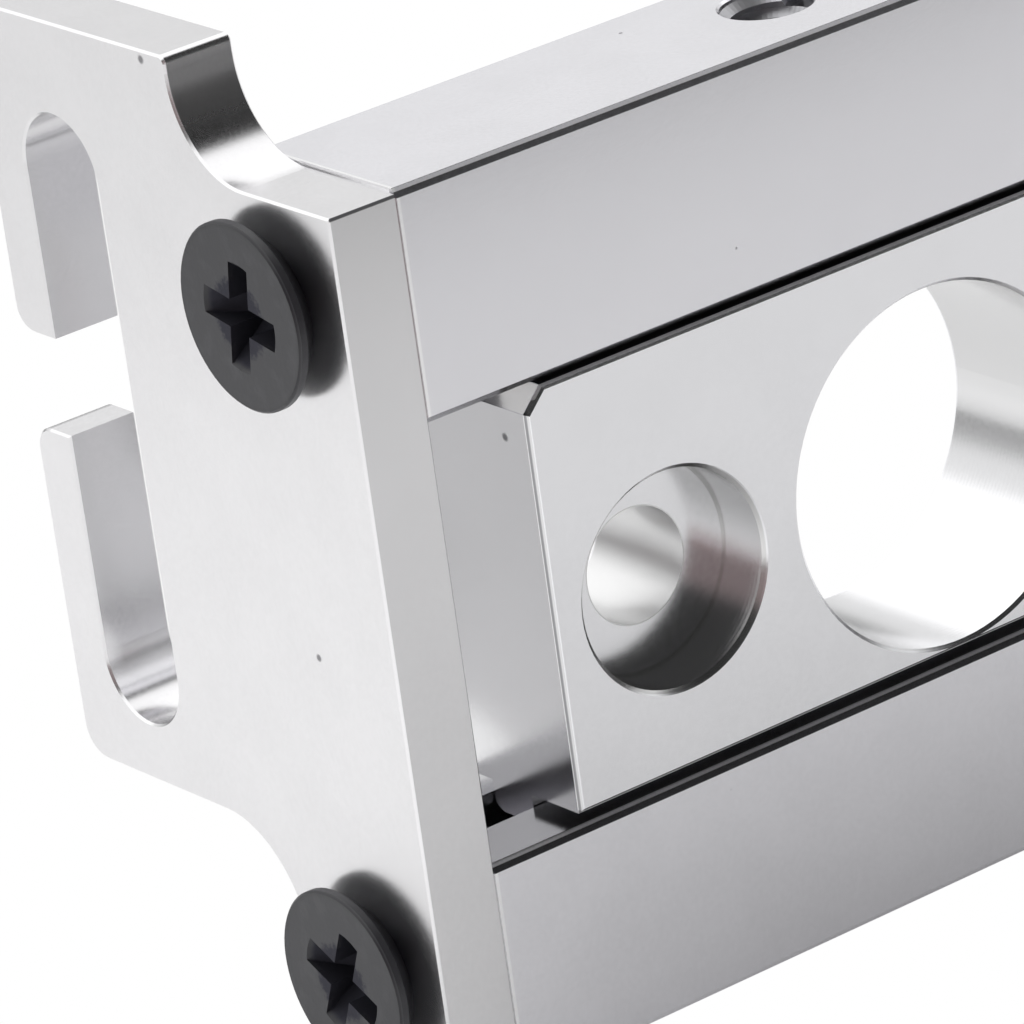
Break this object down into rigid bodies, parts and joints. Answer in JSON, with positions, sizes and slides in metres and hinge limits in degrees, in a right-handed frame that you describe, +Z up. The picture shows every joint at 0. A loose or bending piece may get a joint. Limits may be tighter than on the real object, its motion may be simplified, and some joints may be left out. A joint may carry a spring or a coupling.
{
  "type": "mounting bracket",
  "caption": "Adjustable mounting bracket: a bored block slides between grooved rails, held by end plates with open-sided slotted ears.",
  "frame": {"origin": "middle of the lower rail's underside, on which the bracket stands", "axes": "+X along the rails, towards the right end plate as seen from the front; +Y from the front towards the slotted ears; +Z up, from the lower rail to the upper rail"},
  "size_m": [0.0624, 0.0244, 0.0444],
  "materials": {
    "plate_aluminium": "satin",
    "rail_aluminium": "satin",
    "block_aluminium": "satin",
    "black_screw": "black oxide"
  },
  "bodies": {
    "frame": {"upper_rail": "rail_aluminium", "lower_rail": "rail_aluminium", "left_end_plate": "plate_aluminium", "right_end_plate": "plate_aluminium", "screw_left_upper": "black_screw", "screw_left_lower": "black_screw", "screw_right_upper": "black_screw", "screw_right_lower": "black_screw"},
    "block": {"slide_block": "block_aluminium"}
  },
  "joints": [
    {"name": "block_slide", "type": "slide", "parent": "frame", "child": "block", "axis": [1, 0, 0], "range_m": [-0.00465, 0.00605]}
  ]
}
